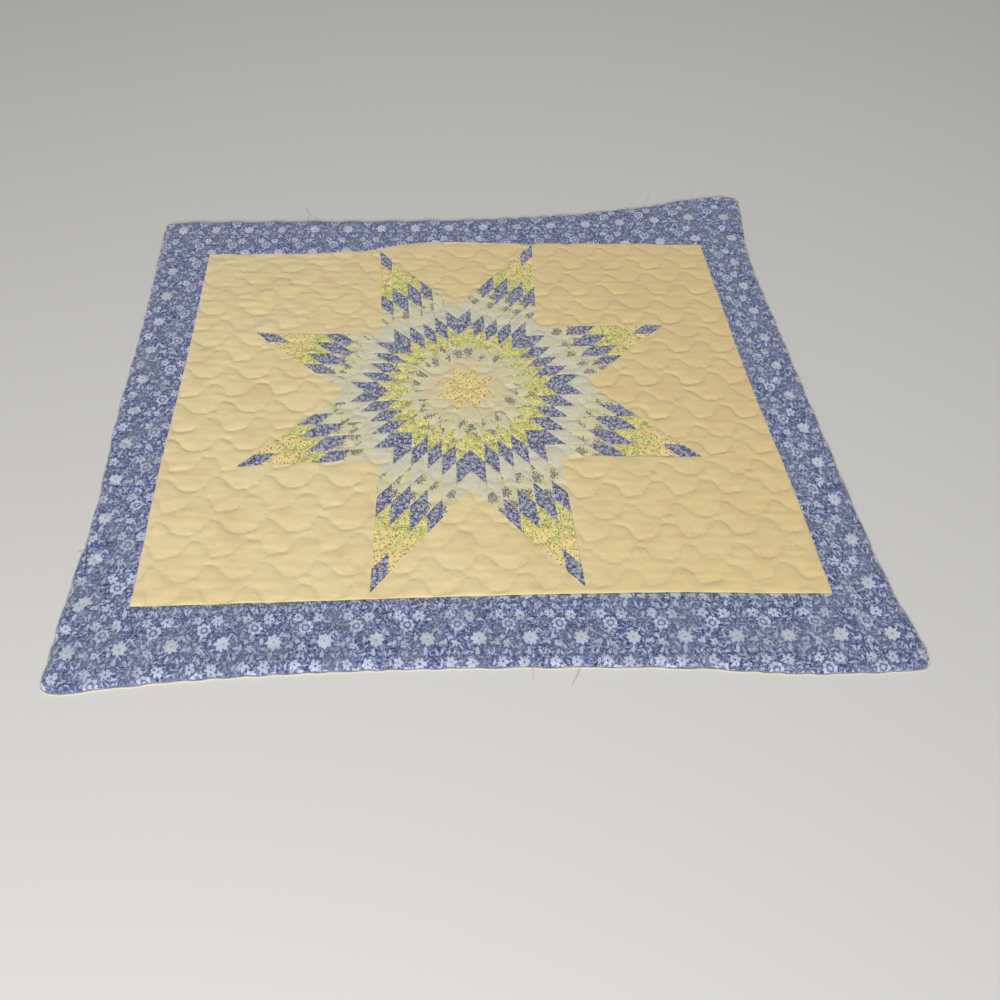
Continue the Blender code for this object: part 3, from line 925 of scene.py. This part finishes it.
def cream_dots():
    """A warm cream yellow cloth with small brown dots and orange curls."""
    nodes = Nodes("cream_dots", (0.7, 3.0))
    crowd = nodes.patches(8.0, 0.5, 0.6, (29.0, 5.0))
    return nodes.finish(
        nodes.mix(nodes.noise(8.0), (236, 220, 160), (228, 206, 136)),
        (nodes.patches(3.2, 0.56, 0.63, detail=3.0), 0.6, (212, 172, 98)),
        (nodes.times(nodes.curls(4.0, 0.045), crowd), 0.8, (128, 108, 60)),
        (nodes.cells(6.2, 0.21, 0.13), 0.85, (116, 90, 60)),
    )


def field_cloth():
    """Plain cream yellow cotton, a little uneven in colour, and darker and browner toward the upper
    right, which is partly its own tone and partly painted shade.
    """
    nodes = Nodes("field_cloth", roughness=0.88, sheen=0.3)
    parts = nodes.parts(nodes.place)
    return nodes.finish(
        nodes.mix(nodes.noise(130.0, detail=3.0), (228, 212, 166), (222, 202, 148)),
        # Partly the cloth's own browner tone and partly painted shade: darker toward the upper
        # right.
        (nodes.step(nodes.line(parts[1], 0.5, parts[0]), -350, 520), 0.75, (218, 192, 134)),
        (nodes.patches(48.0, 0.48, 0.72, (210.0, 90.0)), 0.4, (214, 184, 138)),
        (nodes.cells(130.0, 0.011, 0.006), 0.35, (150, 118, 70)),
    )


def backing_cotton():
    """Pale undyed cotton."""
    nodes = Nodes("backing_cotton", roughness=0.9, sheen=0.3)
    return nodes.finish(nodes.mix(nodes.noise(18.0, detail=3.0), (212, 208, 192), (194, 190, 172)))


def cotton_thread():
    """Pale cotton thread, a little uneven along its twist."""
    nodes = Nodes("cotton_thread", roughness=0.6, sheen=0.4)
    colour = nodes.mix(nodes.noise(0.8), (208, 206, 198), (184, 182, 174))
    return nodes.finish(colour, weave=0.5)


def scalloped(loop, depth):
    """The loop drawn in wherever the quilting runs off the quilt's outer edge."""
    free = gap_to_loop(loop, EDGE_LOOP) < SCALLOP_FREE
    draw = depth * np.exp(-(gap_in(QUILT_TREE, loop) / SCALLOP_REACH) ** 2)
    return inset(loop, np.where(free, draw, 0.0))


def sewn_loop(node):
    """A piece's outline, brought to the middle of the seams that it shares."""
    others = [loop for name, loop in LOOPS.items() if name != node]
    tree = tree_of(np.concatenate([marks_round(loop) for loop in others]))
    moved = []
    for x, y in LOOPS[node]:
        place, _, gap = tree.find((x, y, 0.0))
        share = SEWN if gap < SEAM_REACH else 0.0
        moved.append((x + (place.x - x) * share, y + (place.y - y) * share))
    return np.array(moved)


def beside_any(points, others, node):
    """Which points lie on the seam between a node and any of the others."""
    beside = np.zeros(len(points), bool)
    for other in others:
        if other != node:
            beside |= gap_to_loop(points, LOOPS[other]) < SEAM_REACH / 2
    return beside


def field_piece(node, material):
    loop = sewn_loop(node)
    ends = after(loop)
    middles = (loop + ends) / 2
    hidden = beside_any(middles, FIELDS + STARS, node)
    plan, faces = cut(loop, LINES, SCATTER, CLEAR)
    seam_gap = gap_to(plan, loop[~hidden], ends[~hidden])
    z, near = top_height(plan, seam_gap, hidden_gap=gap_to(plan, loop[hidden], ends[hidden]))
    return add_top(node, loop, plan, z, near, faces, [material])


def print_place(node, points):
    """Places on the printed cloth of a border strip, whose rows of flowers follow the strip."""
    along = int(node in ("border_left", "border_right"))
    row = np.array(FLOWER_ROWS[node]) + (*STAR_MIDDLE, 0)
    middle = row[:, along].mean()
    reach = row[:, along] - middle
    at = points[:, along] - middle
    bend = np.polyfit(reach, row[:, 1 - along], 3)
    count = np.polyfit(reach, row[:, 2], 2)
    cloth = np.zeros((len(points), 3))
    cloth[:, along] = np.polyval(count, at) * PRINT_CELL + STAR_FLOWER[along]
    level = np.polyval(bend, np.clip(at, reach.min(), reach.max()))
    cloth[:, 1 - along] = points[:, 1 - along] - level + STAR_FLOWER[1 - along]
    return cloth


def border_piece(node, material):
    loop = scalloped(sewn_loop(node), SCALLOP)
    ends = after(loop)
    middles = (loop + ends) / 2
    free = gap_to_loop(middles, EDGE_LOOP) < EDGE_FREE
    plan, faces = cut(loop, LINES, SCATTER, CLEAR)
    hidden = beside_any(middles, BORDERS, node) & ~free
    seam = ~free & ~hidden
    gaps = [gap_to(plan, loop[part], ends[part]) for part in (seam, free, hidden)]
    z, near = top_height(plan, gaps[0], edge_gap=gaps[1], hidden_gap=gaps[2])
    cloth = print_place(node, plan[faces.ravel()])
    return add_top(node, loop, plan, z, near, faces, [material], cloth=cloth)


def add_top(node, loop, plan, z, near, faces, materials, paint=None, cloth=None):
    """A piece of the quilted top with its flat underside, and its points and faces."""
    top = np.c_[plan, z]
    under, under_faces = plain_under(top, faces, LOW)
    points, all_faces = closed(top, faces, under, under_faces)
    near = np.concatenate([near, np.zeros(len(under))])
    if paint is not None:
        beside = np.repeat(paint[rim_of(faces)[1]], 2)
        paint = np.concatenate([paint, np.zeros(len(under_faces), int), beside])
    corners = points[all_faces.ravel()] * (1, 1, 0)
    if cloth is not None:
        corners[:len(cloth)] = cloth
    name = node + "_cloth"
    piece = make_piece(name, node, points, all_faces, materials, paint, corners, near)
    declare(loop)
    return points, all_faces


def star_piece(number, node, cloths):
    """One point of the star, with a patch of printed cloth in each small diamond."""
    corners = star_corners(node)
    middle, right, tip, left = corners
    loop = sewn_loop(node)
    count = len(PATCH_SHARES) - 1

    def place(u, v):
        near = middle + (right - middle) * u
        far = left + (tip - left) * u
        return near + (far - near) * v

    shares = np.linspace(0, 1, PATCH_ROW["points"])[:, None]
    seams = [place(share, shares) for share in PATCH_SHARES[1:-1]]
    seams += [place(shares, share) for share in PATCH_SHARES[1:-1]]
    starts, stops = (np.array([line[k] for line in seams]) for k in (0, -1))

    box = (SCATTER > loop.min(axis=0)).all(axis=1) & (SCATTER < loop.max(axis=0)).all(axis=1)
    fill = SCATTER[box]
    fill = fill[gap_to(fill, starts, stops) > PATCH_ROW["clear"]]
    across = (stops - starts)[:, ::-1] * (-1, 1)
    across /= np.hypot(*across.T)[:, None]
    across *= PATCH_ROW["row"]
    beside = [line + side for line, own in zip(seams, across) for side in (own, -own)]
    fill = np.concatenate([fill, *beside])
    plan, faces = cut(loop, seams + LINES, fill, PATCH_ROW["from_edge"])
    seam_gap = gap_to_loop(plan, loop)
    patch_gap = gap_to(plan, starts, stops)
    z, near = top_height(plan, None, patch_gap=patch_gap, hidden_gap=seam_gap)

    centres = plan[faces].mean(axis=1)
    paint = np.zeros(len(faces), int)
    cloth = np.zeros((len(faces), 3, 3))
    names = list(cloths)
    bearing = math.atan2(*(tip - middle)[::-1])
    for i in range(count):
        for j in range(count):
            u0, u1, v0, v1 = *PATCH_SHARES[i:i + 2], *PATCH_SHARES[j:j + 2]
            quad = np.array([place(u0, v0), place(u1, v0), place(u1, v1), place(u0, v1)])
            own = inside(centres, quad)
            paint[own] = names.index(RINGS[i + j])
            seed = number * 36 + i * 6 + j
            spot = np.array([(seed * 5) % 17, (seed * 11) % 19]) * SPOT_CELL + SPOT_CELL / 2
            sway = np.array([math.sin(seed * 2.1), math.cos(seed * 3.7)]) * 3.0
            cloth[own, :, :2] = turn(plan[faces[own]] - quad.mean(axis=0), -bearing) + spot + sway
    materials = list(cloths.values())
    cloth = cloth.reshape(-1, 3)
    return add_top(node, loop, plan, z, near, faces, materials, paint, cloth)


def turn(points, angle):
    c, s = math.cos(angle), math.sin(angle)
    return points @ np.array([[c, s], [-s, c]])


def backing_piece(material):
    """The backing with its rolled rim, and the quilting pressed into its underside."""
    loop = scalloped(refined(EDGE_LOOP, LOOP_STEP, STRIP_SHARP), SCALLOP * BACKING_SCALLOP)
    rows = [inset(loop, depth) for depth, _ in RIM_ROWS[1:]]
    plan, faces = triangulate(np.concatenate([loop, *rows]), loop_edges(len(loop)))
    gap = gap_to_loop(plan, loop)
    depths, heights = zip(*RIM_ROWS)
    roll = varied(*plan.T, RIM_VARIES)
    z = np.interp(gap, depths, heights)
    z = np.where(z > BACKING_TOP, BACKING_TOP + (z - BACKING_TOP) * roll, z)
    top = np.c_[plan, z]

    wide = SCATTER[::UNDER["thin"]]
    fill = wide[gap_in(QUILT_TREE, wide) > UNDER["clear"]]
    beside = [line + (0.0, side) for line in LINES for side in (-UNDER["row"], UNDER["row"])]
    lines = [line[::UNDER["line_thin"]] for line in LINES]
    under, under_faces = cut(loop, lines, np.concatenate([fill, *beside]), UNDER["from_edge"])
    stitch_gap = gap_in(QUILT_TREE, under)
    free = gap_to_loop(under, loop)
    dent = UNDER_GROOVE["depth"] * (1 - rise(stitch_gap / UNDER_GROOVE["roll"]))
    dent *= np.clip(free / UNDER_GROOVE["fade"], 0, 1)
    under = np.c_[under, dent]
    points, all_faces = closed(top, faces, under, under_faces)
    near = np.zeros(len(points))
    piece = make_piece(
        "backing_cloth", "backing", points, all_faces, [material], near=near
    )
    declare(loop)


def tube(path, radius, sides):
    """A round thread along a path, closed at its ends."""
    path = np.array(path, float)
    run = np.gradient(path, axis=0)
    run /= np.linalg.norm(run, axis=1)[:, None]
    side = np.cross(run, (0.0, 0.0, 1.0))
    side /= np.linalg.norm(side, axis=1)[:, None]
    up = np.cross(side, run)
    angles = np.arange(sides) * 2 * np.pi / sides
    ring = side[:, None] * np.cos(angles)[:, None] + up[:, None] * np.sin(angles)[:, None]
    points = (path[:, None] + ring * radius).reshape(-1, 3)
    faces = []
    for k in range(len(path) - 1):
        for s in range(sides):
            a, b = k * sides + s, k * sides + (s + 1) % sides
            faces += [(a, b, a + sides), (b, b + sides, a + sides)]
    last = (len(path) - 1) * sides
    faces += [(0, s + 1, s) for s in range(1, sides - 1)]
    faces += [(last, last + s, last + s + 1) for s in range(1, sides - 1)]
    return points, np.array(faces)


def joined(meshes):
    """The points and faces of many meshes as one."""
    points, faces, count = [], [], 0
    for own, own_faces in meshes:
        points.append(own)
        faces.append(own_faces + count)
        count += len(own)
    return np.concatenate(points), np.concatenate(faces)


def stitch_paths(tree):
    """The short stitches that show along every quilting line, laid on the cloth's top."""
    paths = []
    for line in DENSE_LINES:
        run = np.concatenate([[0], np.cumsum(np.hypot(*np.diff(line, axis=0).T))])
        first = np.arange(STITCH["start"], run[-1] - STITCH["length"], STITCH["pitch"])
        marks = first[:, None] + STITCH["length"] * np.array([0.0, 0.5, 1.0])
        places = np.stack([np.interp(marks, run, line[:, k]) for k in (0, 1)], axis=-1)
        middles = places.mean(axis=1)
        kept = inside(middles, EDGE_LOOP)
        kept[kept] = gap_to_loop(middles[kept], EDGE_LOOP) > STITCH["from_edge"]
        for stitch in places[kept]:
            path = []
            for (x, y), lift in zip(stitch, STITCH_LIFTS):
                hit = tree.ray_cast(Vector((x, y, ABOVE)), Vector((0, 0, -1)))[0]
                path.append((x, y, hit.z + lift) if hit else None)
            if None not in path:
                paths.append(path)
    return paths


def top_tree(tops):
    """What the threads lie on: every piece of the top, as its mesh holds it."""
    points, faces = joined([((co * MM).astype(np.float32) / MM, own) for co, own in tops])
    return BVHTree.FromPolygons(points.tolist(), faces.tolist())


def thread_piece(name, paths, kind, material):
    """Many threads of one kind as one piece."""
    points, faces = joined([tube(path, kind["radius"], kind["sides"]) for path in paths])
    make_piece(name, None, points, faces, [material])


def smooth_path(places):
    """A loose thread through the places, lying on the floor."""
    places = np.array(places, float) + STAR_MIDDLE
    run = np.concatenate([[0], np.cumsum(np.hypot(*np.diff(places, axis=0).T))])
    at = np.linspace(0, run[-1], max(LOOSE["least"], int(run[-1] / LOOSE["step"])))
    slope = np.gradient(places, run, axis=0)
    k = np.clip(np.searchsorted(run, at, side="right") - 1, 0, len(run) - 2)
    span = (run[k + 1] - run[k])[:, None]
    t = ((at - run[k]) / span.ravel())[:, None]
    plan = curve(places[k], places[k + 1], slope[k] * span, slope[k + 1] * span, t)
    share = np.linspace(0, 1, len(at))
    sway = LOOSE["sway"] * np.sin(share * LOOSE["turns"]) ** 2
    return np.c_[plan, LOOSE["radius"] + LOOSE["lift"] * (1 - share) ** 2 + sway]


def add(name, data):
    thing = bpy.data.objects.new(name, data)
    bpy.context.scene.collection.objects.link(thing)
    return thing


def add_camera():
    data = bpy.data.cameras.new("camera")
    data.sensor_width = CAMERA["sensor_mm"]
    data.lens = CAMERA["focal_px"] / CAMERA["photo_px"] * CAMERA["sensor_mm"]
    data.clip_start = 0.01
    camera = add("camera", data)
    pitch, yaw, roll = (math.radians(CAMERA[k]) for k in ("pitch", "yaw", "roll"))
    c, s = math.cos(pitch), math.sin(pitch)
    tilt = Matrix(((1, 0, 0), (0, -s, -c), (0, c, -s)))
    seen = Matrix.Rotation(roll, 3, "Z") @ tilt @ Matrix.Rotation(yaw, 3, "Z")
    spot = Vector(CAMERA["place"]) + Vector((*STAR_MIDDLE, 0.0))
    facing = (seen.transposed() @ Matrix.Diagonal((1, -1, -1))).to_4x4()
    camera.matrix_world = Matrix.Translation(spot * MM) @ facing
    bpy.context.scene.camera = camera


def add_light(name, place, size, watts, colour):
    data = bpy.data.lights.new(name, "AREA")
    data.shape = "RECTANGLE"
    data.size, data.size_y = size
    data.energy = watts
    data.color = colour
    light = add(name, data)
    light.location = place
    light.visible_camera = False
    light.rotation_euler = (-Vector(place)).to_track_quat("-Z", "Y").to_euler()


def add_stage():
    """A plain pale floor under soft studio light."""
    mesh = bpy.data.meshes.new("floor")
    half = FLOOR["half"]
    corners = [(-half, -half, 0), (half, -half, 0), (half, half, 0), (-half, half, 0)]
    mesh.from_pydata(corners, [], [(0, 1, 2, 3)])
    material, shader = matt("floor_plain", FLOOR["roughness"], 0.0)
    shader.inputs["Base Color"].default_value = FLOOR["colour"]
    mesh.materials.append(material)
    floor = add("floor", mesh)
    floor.location.z = -FLOOR["gap"]

    world = bpy.data.worlds.new("studio")
    world.use_nodes = True
    for key, value in STUDIO.items():
        world.node_tree.nodes["Background"].inputs[key].default_value = value
    bpy.context.scene.world = world
    for light in LIGHTS:
        add_light(*light)
    bpy.context.scene.view_settings.view_transform = "Standard"


add_camera()
add_stage()

blue = blue_floral()
CLOTHS = {
    "violet_sprigs": violet_sprigs(), "yellow_green": yellow_green(), "pale_spots": pale_spots(),
    "pale_beige": pale_plain("pale_beige", (217, 203, 163), (211, 199, 165)),
    "pale_grey": pale_plain("pale_grey", (211, 207, 187), (205, 203, 177)),
    "cream_dots": cream_dots(),
}
yellow = field_cloth()
backing_piece(backing_cotton())
tops = [field_piece(node, yellow) for node in FIELDS]
tops += [border_piece(node, blue) for node in BORDERS]
tops += [star_piece(k, node, CLOTHS) for k, node in enumerate(STARS)]

thread = cotton_thread()
stitches = stitch_paths(top_tree(tops))
thread_piece("quilting_thread", stitches, STITCH, thread)
thread_piece("loose_ends", [smooth_path(places) for places in LOOSE_ENDS], LOOSE, thread)
